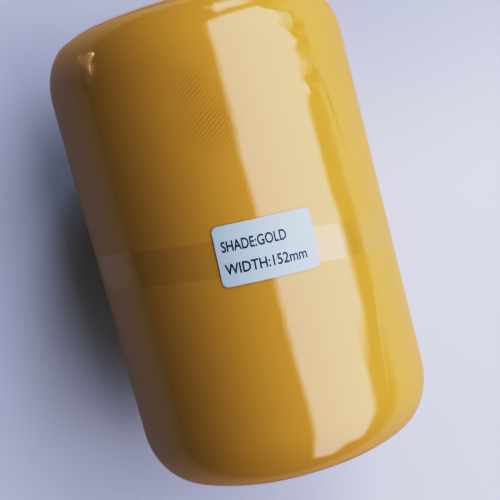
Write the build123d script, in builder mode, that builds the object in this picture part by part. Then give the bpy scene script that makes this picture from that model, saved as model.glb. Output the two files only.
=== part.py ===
from build123d import *
import os
from math import atan, cos, degrees, radians, sin

# A six-inch roll of gold net fabric (tulle ribbon) lying on its side.
# The roll's axis runs along Y. It rests on the plane Z = 0, on the small flat that a
# soft roll presses into itself, and the sticker is on top.
# Inside out: a spiral-wound paper core of three plies, a strip of tape that holds the
# start of the net, the wound net, its last turn, a band of clear tape round the middle,
# and a clear shrink film with a paper sticker on it.

# ---- driving dimensions, millimetres ----
web_width = 152.4             # width of the net, 6 inches
roll_diameter = 101.6         # over the film, 4 inches
settled_depth = 0.6           # how far the soft roll flattens where it lies
shoulder_axial = 18.1         # rounded edge of the roll, measured along the axis
shoulder_radial = 12.4        # the same edge, measured along the radius

core_bore_diameter = 31.8     # hole through the paper core
ply_thickness = 0.7           # each of the three paper plies
core_length = 154.0           # the core stands just proud of the net at both ends

film_thickness = 0.15         # clear shrink film
film_opening_radius = 27.0    # round opening that the film leaves at each end

turn_thickness = 0.25         # last turn of net
turn_width_left = 148.2       # its width once the film has pulled its edges over
turn_tail_angle = 205.0       # where the free end of the net lies, from the top
turn_gap_angle = 6.0          # stretch by which the last turn falls short of a full one

tape_width = 11.0             # closing tape round the middle
tape_thickness = 0.10
tape_middle = -6.3            # where the band crosses, along the axis
tape_skew = 6.5               # how far the band wanders to each side of that
tape_skew_angle = 30.0        # the band crosses its middle here, from the top

start_tape_width = 12.0       # strip that holds the first turn on the core
start_tape_length = 120.0
start_tape_thickness = 0.12

label_width = 30.4            # paper sticker, measured round the roll
label_height = 18.2
label_corner = 1.8
label_thickness = 0.10
label_angle = 7.4             # sideways from the top of the roll
label_offset = -2.4           # along the axis
label_turn = -2.6             # it was stuck on slightly askew

# ---- worked out from them ----
roll_radius = roll_diameter / 2
axis_height = roll_radius - settled_depth
core_bore_radius = core_bore_diameter / 2
ply_names = ("core_inner_ply", "core_middle_ply", "core_outer_ply")
core_radius = core_bore_radius + len(ply_names) * ply_thickness
film_inset = film_thickness
tape_inset = film_inset + tape_thickness
turn_inset = film_inset + turn_thickness
clear_of_roll = 2 * roll_diameter

roll_axis = Axis((0, 0, axis_height), (0, 1, 0))
length_plane = Plane.XY.offset(axis_height)


def across_plane(along):
    """A plane square to the roll's axis, at this place along it."""
    return Plane(origin=(0, along, axis_height), x_dir=(1, 0, 0), z_dir=(0, 1, 0))


def wound_body(inset):
    """The roll's solid shape, this far inside the film's outer face, with its flat."""
    radius = roll_radius - inset
    half_length = web_width / 2 + film_thickness - inset
    axial = shoulder_axial - inset
    radial = shoulder_radial - inset
    rim = radius - radial
    barrel_end = half_length - axial
    with BuildPart() as body:
        with BuildSketch(length_plane):
            with BuildLine():
                Line((0, half_length), (0, -half_length))
                Line((0, -half_length), (rim, -half_length))
                EllipticalCenterArc((rim, -barrel_end), radial, axial, 270, arc_size=90)
                Line((radius, -barrel_end), (radius, barrel_end))
                EllipticalCenterArc((rim, barrel_end), radial, axial, 0, arc_size=90)
                Line((rim, half_length), (0, half_length))
            make_face()
        revolve(axis=roll_axis)
        split(bisect_by=Plane.XY.offset(inset), keep=Keep.TOP)
    return body.part


def finish(part, name):
    """Names the piece and writes it."""
    part.label = name
    export_step(part, f"parts/{name}.step")
    print(f"{name}: {part.volume:.1f} mm3")


os.makedirs("parts", exist_ok=True)

# ---- the roll's shape at each layer, from the film's outer face inwards ----
film_outside = wound_body(0)
film_inside = wound_body(film_inset)
tape_inside = wound_body(tape_inset)
turn_inside = wound_body(turn_inset)

# ---- paper core: three plies, one inside another ----
for ply_number, ply_name in enumerate(ply_names):
    ply_inner = core_bore_radius + ply_number * ply_thickness
    with BuildPart() as core_ply:
        with BuildSketch(across_plane(-core_length / 2)):
            Circle(ply_inner + ply_thickness)
            Circle(ply_inner, mode=Mode.SUBTRACT)
        extrude(amount=core_length)
    finish(core_ply.part, ply_name)

# ---- tape that holds the start of the net on the core, along the top of the core ----
with BuildPart() as start_tape:
    with BuildSketch(across_plane(-start_tape_length / 2)):
        Circle(core_radius + start_tape_thickness)
        Circle(core_radius, mode=Mode.SUBTRACT)
        with Locations((0, -core_radius)):
            Rectangle(start_tape_width, core_radius, mode=Mode.INTERSECT)
    extrude(amount=start_tape_length)
finish(start_tape.part, "start_tape")

# ---- clear closing tape, a band whose plane leans a little to the roll's axis ----
# Its middle is the plane  y = tape_middle - tape_skew * sin(angle - tape_skew_angle).
lean_x = -tape_skew * cos(radians(tape_skew_angle)) / roll_radius
lean_z = tape_skew * sin(radians(tape_skew_angle)) / roll_radius
tape_plane = Plane(origin=(0, tape_middle, axis_height), z_dir=(-lean_x, 1, -lean_z))
with BuildPart() as closing_tape:
    add(film_inside)
    add(tape_inside, mode=Mode.SUBTRACT)
    split(bisect_by=tape_plane.offset(tape_width / 2), keep=Keep.BOTTOM)
    split(bisect_by=tape_plane.offset(-tape_width / 2), keep=Keep.TOP)
finish(closing_tape.part, "closing_tape")

# ---- last turn of the net, up to its free end, pressed in under the tape ----
with BuildPart() as tulle_last_turn:
    add(film_inside)
    add(turn_inside, mode=Mode.SUBTRACT)
    for side, kept_side in ((1, Keep.BOTTOM), (-1, Keep.TOP)):
        split(bisect_by=across_plane(side * turn_width_left / 2), keep=kept_side)
    with BuildSketch(across_plane(-web_width / 2)):
        gap_middle = turn_tail_angle - 90 + turn_gap_angle / 2
        gap_edge = roll_diameter * cos(radians(turn_gap_angle / 2))
        gap_half = roll_diameter * sin(radians(turn_gap_angle / 2))
        with Locations(Rotation(0, 0, gap_middle)):
            Polygon((0, 0), (gap_edge, gap_half), (gap_edge, -gap_half), align=None)
    extrude(amount=web_width, mode=Mode.SUBTRACT)
    add(closing_tape.part, mode=Mode.SUBTRACT)
finish(tulle_last_turn.part, "tulle_last_turn")

# ---- wound net: everything between the core and the last turn ----
with BuildPart() as tulle_winding:
    add(film_inside)
    add(tulle_last_turn.part, mode=Mode.SUBTRACT)
    add(closing_tape.part, mode=Mode.SUBTRACT)
    with BuildSketch(across_plane(-core_length / 2)):
        Circle(core_radius)
    extrude(amount=core_length, mode=Mode.SUBTRACT)
    add(start_tape.part, mode=Mode.SUBTRACT)
finish(tulle_winding.part, "tulle_winding")

# ---- shrink film: over the barrel and shoulders, curled on to both end faces ----
with BuildPart() as shrink_film:
    add(film_outside)
    add(film_inside, mode=Mode.SUBTRACT)
    with BuildSketch(across_plane(-clear_of_roll / 2)):
        Circle(film_opening_radius)
    extrude(amount=clear_of_roll, mode=Mode.SUBTRACT)
finish(shrink_film.part, "shrink_film")

# ---- paper sticker, bent to the roll ----
label_lean = radians(label_angle)
label_plane = Plane(
    origin=(0, label_offset, axis_height),
    x_dir=(cos(label_lean), 0, -sin(label_lean)),
    z_dir=(sin(label_lean), 0, cos(label_lean)),
)
label_chord = 2 * roll_radius * sin(label_width / (2 * roll_radius))
with BuildPart() as size_label:
    with BuildSketch(across_plane(-roll_radius)):
        Circle(roll_radius + label_thickness)
        Circle(roll_radius, mode=Mode.SUBTRACT)
    extrude(amount=roll_diameter)
    with BuildSketch(label_plane):
        RectangleRounded(label_chord, label_height, label_corner, rotation=label_turn)
    extrude(amount=clear_of_roll, mode=Mode.INTERSECT)
finish(size_label.part, "size_label")

tape_lean = degrees(atan(tape_skew / roll_radius))
print(f"core radius {core_radius:.2f} mm, axis {axis_height:.2f} mm above the table")
print(f"closing tape leans {tape_lean:.1f} degrees, label chord {label_chord:.2f} mm")
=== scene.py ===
# %% [markdown]
# # A six-inch roll of net fabric in clear shrink film
#
# The design comes from the frame: a solid wound body on a three-ply paper core, the
# last turn of net, a band of clear tape, a clear film and a paper sticker. All of it
# lies along Y with its middle over the origin. This lesson dresses that frame. The
# pieces with a hard shape keep their solids and get a better finish. The soft ones,
# the net and the films, are made again as the thin things that they really are.

# %% Load the frame
from math import atan2, cos, exp, hypot, pi, radians, sin, tan, tau

import bmesh
import bpy
from mathutils import Matrix, Vector, noise


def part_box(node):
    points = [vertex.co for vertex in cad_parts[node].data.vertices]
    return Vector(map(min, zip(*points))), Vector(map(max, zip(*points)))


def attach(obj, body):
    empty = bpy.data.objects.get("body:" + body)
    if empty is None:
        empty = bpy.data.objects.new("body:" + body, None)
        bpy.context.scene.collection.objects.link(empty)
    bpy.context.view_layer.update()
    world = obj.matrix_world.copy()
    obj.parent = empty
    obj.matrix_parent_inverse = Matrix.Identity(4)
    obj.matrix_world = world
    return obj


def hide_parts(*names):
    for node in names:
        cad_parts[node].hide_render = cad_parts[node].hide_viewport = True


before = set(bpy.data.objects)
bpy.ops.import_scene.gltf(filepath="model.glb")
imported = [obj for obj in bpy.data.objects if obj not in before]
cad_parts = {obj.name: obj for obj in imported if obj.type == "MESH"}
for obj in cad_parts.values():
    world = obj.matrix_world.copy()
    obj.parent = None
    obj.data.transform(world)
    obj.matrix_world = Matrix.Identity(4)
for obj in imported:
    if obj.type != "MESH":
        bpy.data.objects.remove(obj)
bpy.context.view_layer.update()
print("nodes:", sorted(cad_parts))

# %% [markdown]
# ## Sizes, read from the frame
#
# The roll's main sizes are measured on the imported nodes, so a change in the design
# moves the looks with it. What no node's box shows is written again, here and in the
# steps below: the rounding of the edges, the film's opening, the sticker's outline,
# and the angles of the tape and of the net's free end. A surface lies some distance
# inside the film's outer face, and that distance is its inset.


# %% Read the sizes
MM = 0.001


def corners(node):
    """The lowest and highest corners of a node's box."""
    return [Vector(corner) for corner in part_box(node)]


film_high = corners("shrink_film")[1]
turn_high = corners("tulle_last_turn")[1]
net_low, net_high = corners("tulle_winding")
tape_low, tape_high = corners("closing_tape")
label_low, label_high = corners("size_label")
core_low, core_high = corners("core_outer_ply")

roll_radius = film_high.x
axis_height = film_high.z - roll_radius
film_half_length = film_high.y
turn_inset = roll_radius - turn_high.x
net_inset = roll_radius - net_high.x
core_radius = core_high.x
core_length = core_high.y - core_low.y
shoulder_axial = 18.1 * MM
shoulder_radial = 12.4 * MM
print(f"roll {2000 * roll_radius:.1f} mm across, {2000 * film_half_length:.1f} mm long")
print(f"net {1000 * net_inset:.2f} mm and last turn {1000 * turn_inset:.2f} mm inside the film")

# %% [markdown]
# ## Camera
#
# The roll is seen from above and a little from one end, turned in the picture. The
# camera hangs over the roll, leans back towards its middle and is rolled by the turn.
# A lens a little longer than normal keeps the two ends nearly the same size.

# %% Hang the camera over the roll
camera_rise = 297.2 * MM        # above the roll's axis
camera_along = 22.0 * MM        # towards the far end
camera_lean = radians(5.5)      # tips the view back to the near end
camera_sway = radians(0.33)     # tips it a touch to the side
camera_turn = radians(14.73)    # rolls the picture
camera_lens = 60.9              # millimetres, as the sensor's width is
sensor_width = 36

camera_data = bpy.data.cameras.new("view")
camera_data.lens = camera_lens
camera_data.sensor_width = sensor_width
camera_data.clip_start = 10 * MM
camera = bpy.data.objects.new("view", camera_data)
bpy.context.collection.objects.link(camera)
facing = (
    Matrix.Rotation(-camera_sway, 4, "Y")
    @ Matrix.Rotation(-camera_lean, 4, "X")
    @ Matrix.Rotation(-camera_turn, 4, "Z")
)
camera.matrix_world = Matrix.Translation((0, camera_along, axis_height + camera_rise)) @ facing
bpy.context.scene.camera = camera
print("camera", [round(value, 3) for value in camera.matrix_world.translation])

# %% [markdown]
# ## Tones
#
# A plain camera answers light along an S-shaped curve: shadows go deeper, middle tones
# go brighter and the brightest ones are held back. The points below draw that curve on
# the brightness of the finished picture.

# %% Draw the tone curve
tone_points = (
    (0.02, 0.010),
    (0.05, 0.024),
    (0.10, 0.061),
    (0.15, 0.118),
    (0.25, 0.272),
    (0.50, 0.649),
    (0.75, 0.818),
)
brightest_shown = 0.965
brightness_curve = 3            # after red, green and blue

view = bpy.context.scene.view_settings
view.view_transform = "Standard"
view.use_curve_mapping = True
tone_curve = view.curve_mapping.curves[brightness_curve]
for scene_light, shown_light in tone_points:
    tone_curve.points.new(scene_light, shown_light)
tone_curve.points[-1].location = (1.0, brightest_shown)
view.curve_mapping.update()
print("tone curve points:", len(tone_curve.points))

# %% [markdown]
# ## Light and floor
#
# One tall soft window stands to the right of the roll. It does most of the work: it
# lights the net from that side, and its mirror image in the film is the broad pale
# band along the roll. It has four panes in one plane, because the band is narrower at
# the near end and starts again on the far shoulder. A fill lamp, kept out of every
# mirror image, and a weak cool sky open up the shadows. A small warm lamp low on the
# left does the opposite: only the film mirrors it, as a glint in its crinkles. The
# floor is a plain pale table top. Lamps are hidden from the camera, so only their
# light and their mirror images show.


# %% Set the window, the sky and the floor
def soft_window(name, from_top, along, strength, colour, leaning, mirrored=True):
    """A flat lamp that faces the roll, seen from it between two angles from overhead
    and between two places along the roll. Its plane leans by this angle from
    overhead, and strength is its brightness. A lamp that isn't mirrored lights the
    roll without a mirror image in the film."""
    direction = Vector((sin(leaning), 0, cos(leaning)))
    across = Vector((cos(leaning), 0, -sin(leaning)))
    low, high = (window_distance * tan(radians(edge) - leaning) for edge in from_top)
    near, far = along
    lamp_data = bpy.data.lights.new(name, "AREA")
    lamp_data.shape = "RECTANGLE"
    lamp_data.size, lamp_data.size_y = high - low, far - near
    lamp_data.energy = strength * pi * lamp_data.size * lamp_data.size_y
    lamp_data.color = colour
    lamp = bpy.data.objects.new(name, lamp_data)
    bpy.context.collection.objects.link(lamp)
    middle = Vector((0, (near + far) / 2, axis_height)) + (low + high) / 2 * across
    turn = Matrix((across, Vector((0, 1, 0)), direction)).transposed().to_4x4()
    lamp.matrix_world = Matrix.Translation(middle + window_distance * direction) @ turn
    lamp.visible_camera = False
    lamp.visible_glossy = mirrored
    print(f"{name}: {1000 * (high - low):.0f} by {1000 * (far - near):.0f} mm")
    return lamp


window_distance = 0.9
window_leaning = radians(46.25)
window_strength = 2.25
window_colour = (0.97, 0.99, 1.31)

# Each pane: name, edges in degrees from overhead, edges along the roll in metres.
window_panes = (
    ("window", (14.5, 75.5), (-0.27, 0.86)),
    ("window_low_pane", (15.5, 68.0), (-1.25, -0.27)),
    ("window_near_pane", (16.5, 50.0), (-2.2, -1.25)),
    ("window_far_pane", (30.0, 70.0), (1.10, 1.9)),
)
for pane_name, pane_from_top, pane_along in window_panes:
    soft_window(
        pane_name, pane_from_top, pane_along, window_strength, window_colour, window_leaning
    )

soft_window(
    "fill",
    from_top=(30.0, 70.0),
    along=(1.10, 1.9),
    strength=10.0,
    colour=(0.87, 1.0, 1.5),
    leaning=window_leaning,
    mirrored=False,
)
glint = soft_window(
    "glint",
    from_top=(-90.0, -85.5),
    along=(0.50, 0.64),
    strength=45.0,
    colour=(1.0, 0.85, 0.62),
    leaning=radians(-87),
)
glint.visible_diffuse = False

world = bpy.data.worlds.new("sky")
world.use_nodes = True
sky = world.node_tree.nodes["Background"]
sky.inputs["Color"].default_value = (0.93, 1.0, 1.08, 1)
sky.inputs["Strength"].default_value = 0.125
world.cycles_visibility.glossy = False
bpy.context.scene.world = world

floor_reach = 4                 # metres each way from the roll
floor_mesh = bpy.data.meshes.new("floor")
floor_shape = bmesh.new()
bmesh.ops.create_grid(floor_shape, x_segments=1, y_segments=1, size=floor_reach)
floor_shape.to_mesh(floor_mesh)
floor_shape.free()
floor = bpy.data.objects.new("floor", floor_mesh)
bpy.context.collection.objects.link(floor)

# %% [markdown]
# ## Building materials from nodes
#
# A finish here is a small node tree. These helpers add a node, set its sockets and
# wire its inputs, so that each recipe below reads as a list of steps. Patterns that
# follow the cloth use the "unrolled" map, which is in metres: round the roll one way
# and along it the other.


# %% Helpers for node trees
def new_finish(name):
    """An empty material and its node tree."""
    finish = bpy.data.materials.new(name)
    finish.use_nodes = True
    finish.node_tree.nodes.clear()
    return finish, finish.node_tree


def step(tree, kind, settings=None, **inputs):
    """Adds a node. Inputs go by name, or by number as i0 and i1. One that is given as
    a socket is wired, and any other value is set."""
    node = tree.nodes.new(kind)
    for key, value in (settings or {}).items():
        setattr(node, key, value)
    for key, value in inputs.items():
        socket = node.inputs[int(key[1:]) if key[1:].isdigit() else key.replace("_", " ")]
        if isinstance(value, bpy.types.NodeSocket):
            tree.links.new(value, socket)
        else:
            socket.default_value = value
    return node


def arithmetic(tree, operation, first, second=0.0):
    """One Math node."""
    return step(tree, "ShaderNodeMath", {"operation": operation}, i0=first, i1=second).outputs[0]


def unrolled_place(tree, turn=0.0, scale=(1, 1, 1)):
    """The piece's own unrolled map, turned and scaled."""
    source = step(tree, "ShaderNodeUVMap", {"uv_map": "unrolled"}).outputs["UV"]
    return step(
        tree, "ShaderNodeMapping", Vector=source, Rotation=(0, 0, turn), Scale=scale
    ).outputs["Vector"]


def object_place(tree, scale=(1, 1, 1)):
    """Object coordinates, which are metres in the frame."""
    source = step(tree, "ShaderNodeTexCoord").outputs["Object"]
    return step(tree, "ShaderNodeMapping", Vector=source, Scale=scale).outputs["Vector"]


def cloudy(tree, place, size, detail=3.0):
    """Soft noise whose blobs are about this size, in metres."""
    return step(
        tree, "ShaderNodeTexNoise", Vector=place, Scale=1 / size, Detail=detail
    ).outputs[0]


def wave_scale(pitch):
    """The Wave texture's Scale for rows this far apart, in metres. It has twenty
    radians to a unit at a Scale of one."""
    return tau / 20 / pitch


def thread_rows(tree, direction, pitch, wobble=0.0):
    """Sine rows that run in this direction on the unrolled map, pitch metres apart."""
    return step(
        tree,
        "ShaderNodeTexWave",
        {"bands_direction": "X"},
        Vector=unrolled_place(tree, turn=-direction - pi / 2),
        Scale=wave_scale(pitch),
        Distortion=wobble,
        Detail=2.0,
        Detail_Scale=0.02,
    ).outputs["Fac"]


def smooth_ramp(tree, value, low, high, at_low=0.0, at_high=1.0):
    """Goes smoothly from one level to another as the value goes from low to high."""
    return step(
        tree,
        "ShaderNodeMapRange",
        {"interpolation_type": "SMOOTHSTEP"},
        Value=value,
        From_Min=low,
        From_Max=high,
        To_Min=at_low,
        To_Max=at_high,
    ).outputs[0]


def bumpy(tree, height, distance, strength=1.0, over=None):
    """A bumpy surface direction, on top of another one where it is given."""
    inputs = {"Height": height, "Strength": strength, "Distance": distance}
    if over is not None:
        inputs["Normal"] = over
    return step(tree, "ShaderNodeBump", **inputs).outputs[0]


def blend_colours(tree, amount, first, second):
    """A colour mix."""
    mix = step(tree, "ShaderNodeMix", {"data_type": "RGBA"}, Factor=amount)
    for socket, value in ((mix.inputs[6], first), (mix.inputs[7], second)):
        if isinstance(value, bpy.types.NodeSocket):
            tree.links.new(value, socket)
        else:
            socket.default_value = value
    return mix.outputs[2]


def close(tree, surface):
    """Wires the finished surface to the output."""
    step(tree, "ShaderNodeOutputMaterial", Surface=surface)


def dress(piece, finish):
    """Gives the whole piece one finish."""
    piece.data.materials.clear()
    piece.data.materials.append(finish)


# %% [markdown]
# ## The floor's finish
#
# A smooth pale laminate: nearly even in colour, with faint clouds and a soft sheen. Beyond
# the roll's far right it has painted shade: a deeper colour that stands in for the window's
# light falling off there, where the floor would otherwise look too white under the window.

# %% Finish the floor
floor_cloud_size = 0.12
floor_dark_cloud = (0.51, 0.518, 0.527, 1)
floor_pale_cloud = (0.55, 0.558, 0.567, 1)
# Painted shade: this deeper colour stands in for the window's light falling off beyond the roll's
# far right.
floor_painted_shade = (0.395, 0.405, 0.425, 1)

floor_finish, floor_tree = new_finish("pale_table")
floor_clouds = cloudy(floor_tree, object_place(floor_tree), floor_cloud_size)
floor_plain = blend_colours(floor_tree, floor_clouds, floor_dark_cloud, floor_pale_cloud)
floor_parts = step(floor_tree, "ShaderNodeSeparateXYZ", Vector=object_place(floor_tree))
# Where the painted shade lies: far along the roll and to its right, fading in smoothly.
painted_shade_far = smooth_ramp(floor_tree, floor_parts.outputs["Y"], -10 * MM, 80 * MM)
painted_shade_right = smooth_ramp(floor_tree, floor_parts.outputs["X"], -40 * MM, 70 * MM)
painted_shade_mask = arithmetic(floor_tree, "MULTIPLY", painted_shade_far, painted_shade_right)
floor_shader = step(
    floor_tree,
    "ShaderNodeBsdfPrincipled",
    Base_Color=blend_colours(floor_tree, painted_shade_mask, floor_plain, floor_painted_shade),
    Roughness=0.55,
)
close(floor_tree, floor_shader.outputs[0])
dress(floor, floor_finish)

# %% [markdown]
# ## Turning an outline round the roll
#
# Everything wound on a roll is a shape of revolution, so the outline is drawn once,
# from one end face over the rounded shoulders to the other, and spun about the axis.
# The spin starts underneath, where its seam is out of sight. A soft roll also settles
# where it lies, so whatever would sink below its own flat is lifted to it.


# %% Outline, spin and settle
def roll_outline(inset, inner_radius, shoulder_steps=18, barrel_steps=24, face_steps=8):
    """Points (radius, along) from the near end's inner edge to the far end's."""
    radius = roll_radius - inset
    half_length = film_half_length - inset
    axial = shoulder_axial - inset
    radial = shoulder_radial - inset
    half = []
    for count in range(barrel_steps):
        half.append((radius, (half_length - axial) * count / barrel_steps))
    for count in range(shoulder_steps + 1):
        angle = pi / 2 * count / shoulder_steps
        half.append((radius - radial * (1 - cos(angle)), half_length - axial * (1 - sin(angle))))
    rim = radius - radial
    for count in range(1, face_steps + 1):
        half.append((rim + (inner_radius - rim) * count / face_steps, half_length))
    near = [(r, -along) for r, along in reversed(half[1:])]
    return near + half


def spin_outline(outline, steps, start=-pi, sweep=tau):
    """Spins (radius, along) points about the roll's axis into a new bmesh."""
    shape = bmesh.new()
    verts = []
    for radius, along in outline:
        place = (radius * sin(start), along, axis_height + radius * cos(start))
        verts.append(shape.verts.new(place))
    edges = [shape.edges.new(pair) for pair in zip(verts, verts[1:])]
    bmesh.ops.spin(
        shape,
        geom=verts + edges,
        cent=(0, 0, axis_height),
        axis=(0, 1, 0),
        angle=sweep,
        steps=steps,
        use_merge=sweep >= tau,
    )
    bmesh.ops.remove_doubles(shape, verts=shape.verts, dist=1e-7)
    face_outwards(shape)
    return shape


def face_outwards(shape):
    """Points every face away from the roll's axis."""
    bmesh.ops.recalc_face_normals(shape, faces=shape.faces)
    shape.normal_update()
    top = max(shape.faces, key=lambda face: face.calc_center_median().z)
    if top.normal.z < 0:
        bmesh.ops.reverse_faces(shape, faces=shape.faces)
        shape.normal_update()


def settle(shape, inset):
    """Presses the underside flat where the roll lies."""
    for vert in shape.verts:
        vert.co.z = max(vert.co.z, inset)


def round_angle(place):
    """Angle round the roll from its top towards +X, in radians."""
    return atan2(place.x, place.z - axis_height)


def from_axis(place):
    """Distance from the roll's axis."""
    return hypot(place.x, place.z - axis_height)


def surface_run(place):
    """Distance along the outline from the roll's middle, positive to the far end."""
    drop = roll_radius - from_axis(place)
    return place.y + (drop if place.y > 0 else -drop)


def unroll(shape):
    """Writes the unrolled map, in metres, without stretching the faces at the seam."""
    layer = shape.loops.layers.uv.new("unrolled")
    for face in shape.faces:
        middle = round_angle(face.calc_center_median())
        for loop in face.loops:
            angle = round_angle(loop.vert.co)
            if angle - middle > pi:
                angle -= tau
            elif middle - angle > pi:
                angle += tau
            loop[layer].uv = (angle * roll_radius, surface_run(loop.vert.co))


def make_piece(name, shape, smooth=True):
    """Turns a bmesh into a named piece at the origin."""
    unroll(shape)
    mesh = bpy.data.meshes.new(name)
    shape.to_mesh(mesh)
    shape.free()
    mesh.polygons.foreach_set("use_smooth", [smooth] * len(mesh.polygons))
    piece = bpy.data.objects.new(name, mesh)
    bpy.context.collection.objects.link(piece)
    print(f"{name}: {len(mesh.polygons)} faces")
    return piece


# %% [markdown]
# ## The net's finish
#
# The net is a fine mesh of tiny holes. Hundreds of turns on each other close up into a
# solid, silky gold. What is left of the mesh is faint: weak rows along the roll and
# round it, and a fingerprint of slanting rows in the few places where two turns fall
# out of step. Sheen stands for the light in the fine threads. Where the cut edges of
# the turns show, at the ends, rings are added.

# %% Mix the net's finish
fingerprint_pitch = 1.11 * MM
fingerprint_direction = radians(36.0)
mesh_pitch = 1.58 * MM
mesh_share = 0.06
ring_pitch = 0.34 * MM
cloth_cloud_size = 30 * MM

# Where two turns fall out of step: place round and along the roll, reach and strength.
fingerprints = (
    (0.0 * MM, 37.0 * MM, 14.0 * MM, 1.1),
    (-3.0 * MM, 49.0 * MM, 9.0 * MM, 0.95),
    (-13.5 * MM, 54.5 * MM, 9.0 * MM, 0.2),
    (-8.0 * MM, 24.0 * MM, 8.0 * MM, 0.15),
    (30.0 * MM, 48.0 * MM, 12.0 * MM, 0.3),
    (10.0 * MM, -30.0 * MM, 12.0 * MM, 0.12),
)


def patches(tree, spots):
    """Soft round patches on the unrolled map, summed."""
    total = 0.0
    place = unrolled_place(tree)
    for round_at, along_at, reach, strength in spots:
        away = step(
            tree,
            "ShaderNodeVectorMath",
            {"operation": "DISTANCE"},
            i0=place,
            i1=(round_at, along_at, 0),
        ).outputs["Value"]
        patch = smooth_ramp(tree, away, 0.0, reach, at_low=strength, at_high=0.0)
        total = arithmetic(tree, "ADD", patch, total)
    return total


def cloth_rows(tree):
    """The fingerprint in its patches, over the weak rows of the mesh."""
    slanting = thread_rows(tree, fingerprint_direction, fingerprint_pitch, wobble=0.4)
    slanting = arithmetic(tree, "MULTIPLY", slanting, patches(tree, fingerprints))
    pillars = thread_rows(tree, pi / 2, mesh_pitch, wobble=2.0)
    courses = thread_rows(tree, 0, mesh_pitch, wobble=2.0)
    both = arithmetic(tree, "ADD", pillars, courses)
    return arithmetic(tree, "ADD", slanting, arithmetic(tree, "MULTIPLY", both, mesh_share))


def edge_rings(tree):
    """Uneven rings, as the cut edges of the turns make."""
    return step(
        tree,
        "ShaderNodeTexWave",
        {"bands_direction": "Y"},
        Vector=unrolled_place(tree, scale=(0.15, 1, 1)),
        Scale=wave_scale(ring_pitch),
        Distortion=3.0,
        Detail=3.0,
        Detail_Scale=0.05,
    ).outputs["Fac"]


def net_finish(name, gold, shade, row_contrast, ringed=False):
    """Net fabric, plain or with the rings of its cut edges."""
    finish, tree = new_finish(name)
    weave = cloth_rows(tree)
    if ringed:
        weave = arithmetic(tree, "ADD", weave, edge_rings(tree))
    clouds = cloudy(tree, unrolled_place(tree), cloth_cloud_size)
    deeper_gold = [0.93 * value for value in gold[:3]] + [1]
    plain = blend_colours(tree, clouds, gold, deeper_gold)
    colour = blend_colours(tree, arithmetic(tree, "MULTIPLY", weave, row_contrast), plain, shade)
    shader = step(
        tree,
        "ShaderNodeBsdfPrincipled",
        Base_Color=colour,
        Roughness=0.72,
        Normal=bumpy(tree, weave, 0.06 * MM, strength=0.35),
    )
    shader.inputs["Sheen Weight"].default_value = 0.12
    shader.inputs["Sheen Roughness"].default_value = 0.45
    shader.inputs["Sheen Tint"].default_value = (1.0, 0.58, 0.20, 1)
    shader.inputs["Specular IOR Level"].default_value = 0.25
    close(tree, shader.outputs[0])
    return finish


net_gold = (0.498, 0.290, 0.038, 1)
cloth_shade = (0.27, 0.135, 0.015, 1)
edge_shade = (0.18, 0.068, 0.004, 1)
net_cloth = net_finish("net_cloth", net_gold, cloth_shade, row_contrast=0.40)
net_edges = net_finish("net_edges", net_gold, edge_shade, row_contrast=0.5, ringed=True)

# %% [markdown]
# ## The wound net
#
# At the ends the roll shows the edges of its turns as fine rings, none quite level
# with the next. The outline gets a small step for each group of turns, and after the
# spin each ring wanders a little round the roll.

# %% Wind the net
ring_depth = 0.28 * MM          # how far one ring can sink against the next
ring_bevel = 0.10 * MM          # fall across one ring
ring_land = 0.55                # share of the ring's width that falls
face_sink = 0.12 * MM
face_drift = 0.22 * MM          # how far a ring wanders as it goes round


def ringed_face(rim, face_at):
    """One end face, from its rim to the core, with a step for every group of turns."""
    ring_count = int((rim - core_radius) / ring_pitch)
    face = []
    for ring in range(ring_count):
        radius = rim - (rim - core_radius) * ring / ring_count
        sunk = ring_depth * (noise.noise(Vector((0.61 * ring, 3.7, 0))) - 0.5)
        face.append((radius, face_at + sunk))
        face.append((radius - ring_land * ring_pitch, face_at + sunk - ring_bevel))
    face.append((core_radius, face_at - ring_depth))
    return face


def stepped_outline():
    """The wound body's outline, with stepped end faces."""
    rim = roll_radius - shoulder_radial
    smooth = roll_outline(net_inset, core_radius, shoulder_steps=26)
    barrel = [(radius, along) for radius, along in smooth if radius > rim]
    far = ringed_face(rim, film_half_length - net_inset)
    near = [(radius, -along) for radius, along in reversed(far)]
    return near + barrel + far


net_shape = spin_outline(stepped_outline(), steps=180)
settle(net_shape, net_inset)
for vert in net_shape.verts:
    if abs(vert.co.y) > film_half_length - shoulder_axial:
        angle = round_angle(vert.co)
        drift = Vector((2.2 * cos(angle), 2.2 * sin(angle), from_axis(vert.co) / (1.5 * MM)))
        inwards = -1 if vert.co.y > 0 else 1
        vert.co.y += inwards * (face_sink + face_drift * noise.noise(drift))
net_winding = make_piece("net_winding", net_shape)
dress(net_winding, net_edges)
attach(net_winding, "root")
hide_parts("tulle_winding")

# %% [markdown]
# ## The last turn
#
# This is the one length of net that is seen as cloth. It goes once round, and the film
# pulls its two edges over the shoulders. Its free end stops behind the roll, held only
# by the tape, so it is a sheet with a cut end and a little thickness.

# %% Lay the last turn
tail_angle = radians(205)       # where the free end lies, round from the top
turn_gap = radians(6)           # by which the turn falls short of a full one
cloth_thickness = 0.12 * MM
turn_outline = [
    (radius, along)
    for radius, along in roll_outline(turn_inset, core_radius, shoulder_steps=30)
    if abs(along) <= turn_high.y and radius > roll_radius - shoulder_radial
]
turn_start = tail_angle + turn_gap - tau
turn_shape = spin_outline(turn_outline, steps=220, start=turn_start, sweep=tau - turn_gap)
settle(turn_shape, turn_inset)
last_turn = make_piece("net_last_turn", turn_shape)
dress(last_turn, net_cloth)
turn_thickness = last_turn.modifiers.new("cloth thickness", "SOLIDIFY")
turn_thickness.thickness = cloth_thickness
turn_thickness.offset = -1
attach(last_turn, "root")
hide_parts("tulle_last_turn")

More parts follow.
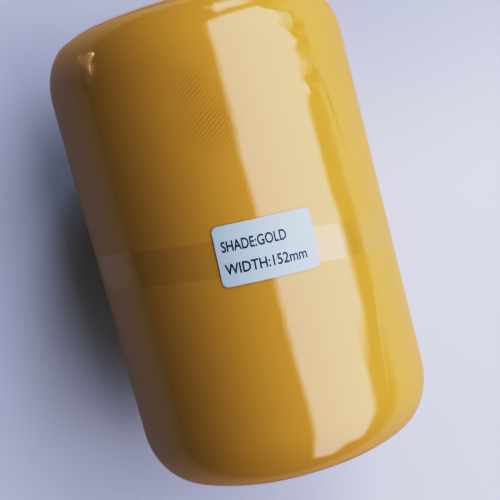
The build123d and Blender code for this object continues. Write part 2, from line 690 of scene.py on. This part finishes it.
# %% [markdown]
# ## Clear plastics
#
# Film and tape are so thin that light doesn't bend in them. All that shows is the
# mirror image on their face, weak from the front and stronger at a glancing angle. So
# the shader lets light straight through and lays a sharp reflection over it. Fresnel
# sets the amount. Only a quarter of its growth towards a glancing angle is kept, so
# that the floor's image doesn't whiten the sides. Fine bumps keep the reflection from
# being a perfect mirror, and a few patches of small sharp folds crinkle it.


# %% Mix the clear finishes
glancing_share = 0.25
wave_size = 6 * MM
smudge_size = 18 * MM
fold_size = 0.5 * MM
fold_height = 1.0 * MM


def clear_bumps(tree, grain_size, grain_depth, wave_depth, crinkles):
    """Surface direction of a clear plastic: fine grain, long waves and small folds."""
    grain = cloudy(tree, unrolled_place(tree), grain_size, detail=0.0)
    waves = cloudy(tree, unrolled_place(tree, scale=(1, 0.35, 1)), wave_size, detail=0.0)
    folds = cloudy(tree, unrolled_place(tree, turn=0.5, scale=(1, 0.45, 1)), fold_size, detail=1.0)
    folds = arithmetic(tree, "MULTIPLY", folds, patches(tree, crinkles))
    grainy = bumpy(tree, grain, grain_depth)
    wavy = bumpy(tree, waves, wave_depth, over=grainy)
    return bumpy(tree, folds, fold_height, over=wavy)


def mirror_amount(tree, surface, ior, most):
    """How much of the light is mirrored. The inside of the film mirrors nothing."""
    head_on = ((ior - 1) / (ior + 1)) ** 2
    fresnel = step(tree, "ShaderNodeFresnel", IOR=ior, Normal=surface).outputs[0]
    growth = arithmetic(tree, "SUBTRACT", fresnel, head_on)
    softened = arithmetic(tree, "MULTIPLY", growth, glancing_share)
    mirrored = arithmetic(tree, "MINIMUM", arithmetic(tree, "ADD", softened, head_on), most)
    inside = step(tree, "ShaderNodeNewGeometry").outputs["Backfacing"]
    return arithmetic(tree, "MULTIPLY", mirrored, arithmetic(tree, "SUBTRACT", 1.0, inside))


def clear_finish(name, tint, mirror_tint, roughness, ior, most, **bumps):
    """Thin clear plastic that mirrors at most this share of the light."""
    finish, tree = new_finish(name)
    surface = clear_bumps(tree, **bumps)
    smudge = step(
        tree,
        "ShaderNodeMapRange",
        Value=cloudy(tree, unrolled_place(tree), smudge_size),
        To_Min=roughness,
        To_Max=1.6 * roughness,
    ).outputs[0]
    mirror = step(
        tree,
        "ShaderNodeBsdfAnisotropic",
        Color=mirror_tint,
        Roughness=smudge,
        Normal=surface,
    )
    through = step(tree, "ShaderNodeBsdfTransparent", Color=tint)
    both = step(tree, "ShaderNodeMixShader", i0=mirror_amount(tree, surface, ior, most))
    tree.links.new(through.outputs[0], both.inputs[1])
    tree.links.new(mirror.outputs[0], both.inputs[2])
    close(tree, both.outputs[0])
    return finish


# Patches of small folds: place round and along the roll, reach and strength.
film_crinkles = (
    (-36.0 * MM, 65.5 * MM, 5.0 * MM, 0.50),
    (-33.0 * MM, 60.0 * MM, 4.0 * MM, 0.50),
    (30.0 * MM, 61.0 * MM, 7.0 * MM, 0.18),
    (34.0 * MM, 48.0 * MM, 6.0 * MM, 0.22),
)
film_clear = clear_finish(
    "clear_film",
    tint=(0.985, 0.985, 0.99, 1),
    mirror_tint=(1.0, 0.87, 0.98, 1),
    roughness=0.05,
    ior=1.77,
    most=0.24,
    grain_size=0.5 * MM,
    grain_depth=0.022 * MM,
    wave_depth=0.03 * MM,
    crinkles=film_crinkles,
)
tape_clear = clear_finish(
    "clear_tape",
    tint=(0.98, 0.98, 0.96, 1),
    mirror_tint=(1.0, 1.0, 0.72, 1),
    roughness=0.10,
    ior=1.65,
    most=0.062,
    grain_size=0.4 * MM,
    grain_depth=0.004 * MM,
    wave_depth=0.02 * MM,
    crinkles=(),
)

# %% [markdown]
# ## The closing tape
#
# One strip of clear tape goes round the middle of the roll and its ends overlap. It
# was wound on by hand, so its loop leans: seen from the side it wanders a few
# millimetres along the roll and comes back. A short flat line is spun a little past a
# full turn, climbs by the tape's thickness where it overlaps, and is then sheared
# along the roll by the sine of the angle.

# %% Wrap the tape
tape_width = 11.0 * MM
tape_middle = (tape_low.y + tape_high.y) / 2
tape_wander = (tape_high.y - tape_low.y - tape_width) / 2
tape_cross = radians(30)        # where the leaning loop crosses its middle
tape_start = radians(-160)
tape_sweep = radians(372)       # a little past a full turn, so the ends overlap
tape_lift = 0.04 * MM           # over the last turn
tape_rise = 0.05 * MM           # more at the overlap
tape_cuts = 8                   # across its width
tape_steps = 240                # round its loop

tape_radius = roll_radius - turn_inset + tape_lift
tape_line = [tape_width * (count / tape_cuts - 0.5) for count in range(tape_cuts + 1)]
tape_shape = bmesh.new()
tape_verts = [tape_shape.verts.new((tape_radius, along, 0)) for along in tape_line]
tape_edges = [tape_shape.edges.new(pair) for pair in zip(tape_verts, tape_verts[1:])]
bmesh.ops.spin(
    tape_shape,
    geom=tape_verts + tape_edges,
    cent=(0, 0, 0),
    axis=(0, 1, 0),
    angle=tape_sweep,
    steps=tape_steps,
)
tape_shape.verts.index_update()
for vert in tape_shape.verts:
    share = (vert.index // len(tape_line)) / tape_steps
    angle = tape_start + tape_sweep * share
    radius = tape_radius + tape_rise * share
    wander = tape_wander * sin(angle - tape_cross)
    place = Vector((radius * sin(angle), vert.co.y + tape_middle - wander, radius * cos(angle)))
    vert.co = place + Vector((0, 0, axis_height))
face_outwards(tape_shape)
settle(tape_shape, turn_inset / 2)
closing_band = make_piece("closing_band", tape_shape)
dress(closing_band, tape_clear)
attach(closing_band, "root")
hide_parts("closing_tape")

# %% [markdown]
# ## The shrink film
#
# The film starts as a loose sleeve and is shrunk with hot air. It pulls tight on the
# barrel, gathers into small radial pleats on the shoulders, puckers on the end faces,
# and ends in a thick wavy lip round an opening at each end. The outline is spun as
# before, and then every point moves out along its normal: a little everywhere, more on
# the shoulders and the ends, and along a few long creases. Under the sticker the film
# lies flat.

# %% Shrink the film on
film_opening = 27.0 * MM
lip_width = 1.2 * MM
wavy_width = 4.0 * MM           # of the wavy rim round each opening
sticker_margin = 2.0 * MM
pleat_height = 0.30 * MM        # on the shoulders
fine_pleat_height = 0.16 * MM
pucker_height = 0.42 * MM       # on the end faces
lip_height = 0.22 * MM
slack_height = 0.05 * MM        # everywhere, in broad soft waves
slack_size = 16 * MM
label_reach = (label_high - label_low) / 2
label_middle = (label_high + label_low) / 2

# Creases: angle round the roll and place along it of each end, height and half width.
creases = (
    (radians(46), 44 * MM, radians(54.5), -6 * MM, 0.20 * MM, 0.7 * MM),
    (radians(44), -22 * MM, radians(37), -64 * MM, 0.13 * MM, 0.7 * MM),
    (radians(48), 9 * MM, radians(46), -36 * MM, 0.30 * MM, 8.0 * MM),
    (radians(27), 65 * MM, radians(42), 62 * MM, 0.42 * MM, 1.6 * MM),
    (radians(32), 57 * MM, radians(46), 54 * MM, 0.38 * MM, 1.4 * MM),
    (radians(34), 50 * MM, radians(47), 44 * MM, 0.36 * MM, 1.5 * MM),
    (radians(36), 41 * MM, radians(44), 37 * MM, 0.22 * MM, 1.2 * MM),
    (radians(-52), 62 * MM, radians(-46), 52 * MM, 0.16 * MM, 0.8 * MM),
    (radians(-48), 63 * MM, radians(-43), 56 * MM, 0.12 * MM, 0.6 * MM),
)


def crease_height(round_at, along_at):
    """Height of the creases at a point of the unrolled film, in metres."""
    total = 0.0
    for start_angle, start_along, end_angle, end_along, height, half_width in creases:
        start = Vector((start_angle * roll_radius, start_along))
        line = Vector((end_angle * roll_radius, end_along)) - start
        reach = Vector((round_at, along_at)) - start
        share = min(max(reach.dot(line) / line.length_squared, 0), 1)
        off = (reach - share * line).length / half_width
        fade = min(1, 6 * share, 6 * (1 - share)) if 0 < share < 1 else 0
        total += height * fade * exp(-off * off)
    return total


def ring_noise(angle, turns, depth):
    """Noise that closes on itself round the roll. More turns make finer noise."""
    return noise.noise(Vector((turns * cos(angle), turns * sin(angle), depth)))


def end_depth(run):
    """A place in the noise for each end, so that the two ends differ."""
    return 5.0 if run > 0 else 11.0


def shoulder_pleats(angle, run):
    """Height of the gathered pleats, which start where the barrel ends."""
    barrel_end = film_half_length - shoulder_axial
    past = max(0.0, (abs(run) - barrel_end) / (2.2 * shoulder_axial))
    depth = end_depth(run)
    gather = ring_noise(angle, 3.0, depth + 0.3 * past)
    pleats = ring_noise(angle, 16.0, depth + 1.3 * past)
    fine = ring_noise(angle, 38.0, depth + 2.0 * past)
    height = pleat_height * abs(pleats) * (0.6 + gather) + fine_pleat_height * abs(fine)
    return min(past, 1.0) * height


def end_puckers(angle, run, radius):
    """Height of the puckers on the end faces and of the lip at each opening."""
    if radius >= roll_radius - shoulder_radial:
        return 0.0
    puckers = ring_noise(angle, 26.0, end_depth(run) + radius / (9 * MM))
    lip = lip_height if radius < film_opening + lip_width else 0.0
    return pucker_height * abs(puckers) + lip


def under_sticker(place):
    """Whether this point lies under the sticker or close round it."""
    sticker_x = (place.x - label_middle.x) / (label_reach.x + sticker_margin)
    sticker_y = (place.y - label_middle.y) / (label_reach.y + sticker_margin)
    return place.z > axis_height and max(abs(sticker_x), abs(sticker_y)) < 1


def film_lift(place):
    """How far the film stands off its plain shape at this point."""
    if under_sticker(place):
        return 0.0
    angle = round_angle(place)
    run = surface_run(place)
    lift = shoulder_pleats(angle, run)
    lift += crease_height(angle * roll_radius, place.y)
    lift += end_puckers(angle, run, from_axis(place))
    broad = noise.noise(Vector((angle * roll_radius, run, 0)) / slack_size)
    lift += slack_height * (broad + 0.6)
    return max(lift, 0.0)


film_shape = spin_outline(
    roll_outline(0, film_opening, shoulder_steps=26, barrel_steps=60, face_steps=14), steps=400
)
settle(film_shape, 0)
film_lifts = [film_lift(vert.co) for vert in film_shape.verts]
for vert, lift in zip(film_shape.verts, film_lifts):
    vert.co += lift * vert.normal
for vert in film_shape.verts:
    radius = from_axis(vert.co)
    if radius < film_opening + wavy_width:
        angle = round_angle(vert.co)
        ring = Vector((2.4 * cos(angle), 2.4 * sin(angle), 1 if vert.co.y > 0 else 7))
        edge_share = 1 - (radius - film_opening) / wavy_width
        reach = 1 + edge_share * 0.06 * noise.noise(2.2 * ring)
        vert.co.x *= reach
        vert.co.z = axis_height + (vert.co.z - axis_height) * reach
settle(film_shape, 0)
film_wrap = make_piece("film_wrap", film_shape)
dress(film_wrap, film_clear)
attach(film_wrap, "root")
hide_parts("shrink_film")

# Only the film takes the small warm lamp's light, so the floor shows no glare of it.
glint_receiver = bpy.data.collections.new("glint_receiver")
glint_receiver.objects.link(film_wrap)
glint.light_linking.receiver_collection = glint_receiver

# %% [markdown]
# ## The sticker
#
# A small sticker with rounded corners, stuck on slightly askew. It starts as one flat
# face whose corners are bevelled round. Cuts across it let it bend, and a bend maps
# its width to an angle round the roll. The print is generic: two rows of plain
# letters, made from text, turned into a mesh and bent the same way.

# %% Bend flat things on to the roll
label_width = 30.4 * MM
label_height = 18.2 * MM
label_corner = 1.8 * MM
label_turn = radians(-2.6)
label_angle = radians(7.4)      # of its middle, round from the top
label_lift = 0.03 * MM          # over the film
label_paper = 0.10 * MM


def bend_on(shape, lift):
    """Turns the flat shape as the sticker lies and wraps it round the roll."""
    turn = Matrix.Rotation(label_turn, 3, "Z")
    for vert in shape.verts:
        flat = turn @ vert.co
        angle = label_angle + flat.x / roll_radius
        radius = roll_radius + lift + flat.z
        place = (radius * sin(angle), label_middle.y + flat.y, axis_height + radius * cos(angle))
        vert.co = place
    shape.normal_update()


# %% Cut the sticker
label_shape = bmesh.new()
half_width, half_height = label_width / 2, label_height / 2
label_corners = [
    label_shape.verts.new((side_x * half_width, side_y * half_height, 0))
    for side_x, side_y in ((-1, -1), (1, -1), (1, 1), (-1, 1))
]
label_shape.faces.new(label_corners)
bmesh.ops.bevel(
    label_shape,
    geom=label_shape.verts[:],
    offset=label_corner,
    affect="VERTICES",
    segments=6,
    profile=0.5,
    material=-1,
)
bend_cuts = 24
for count in range(1, bend_cuts):
    cut_at = label_width * (count / bend_cuts - 0.5)
    geometry = label_shape.verts[:] + label_shape.edges[:] + label_shape.faces[:]
    bmesh.ops.bisect_plane(
        label_shape, geom=geometry, plane_co=(cut_at, 0, 0), plane_no=(1, 0, 0)
    )
lifted = bmesh.ops.extrude_face_region(label_shape, geom=label_shape.faces[:])
lifted_verts = [item for item in lifted["geom"] if isinstance(item, bmesh.types.BMVert)]
bmesh.ops.translate(label_shape, verts=lifted_verts, vec=(0, 0, label_paper))
bmesh.ops.recalc_face_normals(label_shape, faces=label_shape.faces)
bend_on(label_shape, lift=label_lift)
sticker = make_piece("sticker", label_shape, smooth=False)

paper_finish, paper_tree = new_finish("sticker_paper")
paper_dark = (0.375, 0.437, 0.415, 1)
paper_light = (0.425, 0.482, 0.458, 1)
fibres = cloudy(paper_tree, object_place(paper_tree), 0.5 * MM, detail=5.0)
paper_shader = step(
    paper_tree,
    "ShaderNodeBsdfPrincipled",
    Base_Color=blend_colours(paper_tree, fibres, paper_dark, paper_light),
    Roughness=0.62,
    Normal=bumpy(paper_tree, fibres, 0.03 * MM, strength=0.25),
)
close(paper_tree, paper_shader.outputs[0])
dress(sticker, paper_finish)
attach(sticker, "root")
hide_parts("size_label")

# %% Print the sticker
ink_spread = 0.05 * MM          # how far the ink creeps past each letter's edge
ink_depth = 0.004 * MM
ink_lift = 0.008 * MM           # over the paper
capital_share = 0.69            # of the text size, the height of a capital
print_left = -13.4 * MM         # from the sticker's middle
capital_height = 3.1 * MM
ink_black = (0.008, 0.009, 0.012, 1)
ink_thin = (0.03, 0.032, 0.04, 1)

ink_finish, ink_tree = new_finish("black_ink")
ink_clouds = cloudy(ink_tree, object_place(ink_tree), 0.3 * MM)
ink_shader = step(
    ink_tree,
    "ShaderNodeBsdfPrincipled",
    Base_Color=blend_colours(ink_tree, ink_clouds, ink_black, ink_thin),
    Roughness=0.45,
)
close(ink_tree, ink_shader.outputs[0])


def print_row(name, words, base, squeeze):
    """One row of print, with its base line this far over the sticker's middle."""
    curve = bpy.data.curves.new(name, "FONT")
    curve.body = words
    curve.size = capital_height / capital_share
    curve.extrude = ink_depth
    curve.offset = ink_spread
    curve.resolution_u = 4
    source = bpy.data.objects.new(name + "_text", curve)
    bpy.context.collection.objects.link(source)
    bpy.context.view_layer.update()
    mesh = bpy.data.meshes.new_from_object(source)
    bpy.data.objects.remove(source)
    shape = bmesh.new()
    shape.from_mesh(mesh)
    bpy.data.meshes.remove(mesh)
    bmesh.ops.scale(shape, verts=shape.verts, vec=(squeeze, 1, 1))
    bmesh.ops.translate(shape, verts=shape.verts, vec=(print_left, base, 0))
    bmesh.ops.remove_doubles(shape, verts=shape.verts, dist=1e-7)
    right = max(vert.co.x for vert in shape.verts)
    bend_on(shape, lift=label_lift + label_paper + ink_lift)
    piece = make_piece(name, shape, smooth=False)
    dress(piece, ink_finish)
    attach(piece, "root")
    print(f"{name}: from {1000 * print_left:.1f} to {1000 * right:.1f} mm")


print_row("print_upper", "SHADE:GOLD", base=1.3 * MM, squeeze=0.72)
print_row("print_lower", "WIDTH:152mm", base=-5.5 * MM, squeeze=0.84)

# %% [markdown]
# ## The paper core
#
# Three plies of brown paper are wound in a spiral and glued. Their solids are right,
# so only the finish changes: paper fibre, a slanting seam where each strip meets
# itself, and the plies in slightly different browns.


# %% Finish the core
seam_width = 0.012              # as a share of a turn
seam_strength = 0.6
seam_brown = (0.10, 0.065, 0.035, 1)


def spiral_seam(tree, seam_turns):
    """One on the slanting seam of a ply that goes this many times round, else zero."""
    parts = step(tree, "ShaderNodeSeparateXYZ", Vector=object_place(tree))
    rise = arithmetic(tree, "SUBTRACT", parts.outputs["Z"], axis_height)
    angle = arithmetic(tree, "ARCTAN2", parts.outputs["X"], rise)
    strip = arithmetic(tree, "DIVIDE", angle, tau)
    climb = arithmetic(tree, "MULTIPLY", parts.outputs["Y"], seam_turns / core_length)
    phase = arithmetic(tree, "FRACT", arithmetic(tree, "ADD", strip, climb))
    return arithmetic(tree, "LESS_THAN", phase, seam_width)


def core_finish(name, light, dark, seam_turns):
    """Brown core paper with a helical seam."""
    finish, tree = new_finish(name)
    fibres = cloudy(tree, object_place(tree, scale=(1, 0.3, 1)), 0.8 * MM, detail=6.0)
    seam = spiral_seam(tree, seam_turns)
    plain = blend_colours(tree, fibres, light, dark)
    darkened = arithmetic(tree, "MULTIPLY", seam, seam_strength)
    height = arithmetic(tree, "SUBTRACT", fibres, seam)
    shader = step(
        tree,
        "ShaderNodeBsdfPrincipled",
        Base_Color=blend_colours(tree, darkened, plain, seam_brown),
        Roughness=0.85,
        Normal=bumpy(tree, height, 0.08 * MM, strength=0.5),
    )
    close(tree, shader.outputs[0])
    return finish


for number, ply in enumerate(("core_inner_ply", "core_middle_ply", "core_outer_ply")):
    brown = 1 - 0.12 * number
    ply_finish = core_finish(
        ply + "_paper",
        (0.40 * brown, 0.28 * brown, 0.17 * brown, 1),
        (0.30 * brown, 0.20 * brown, 0.12 * brown, 1),
        seam_turns=2.0 + 0.3 * number,
    )
    dress(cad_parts[ply], ply_finish)
dress(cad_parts["start_tape"], tape_clear)
print("core plies finished")
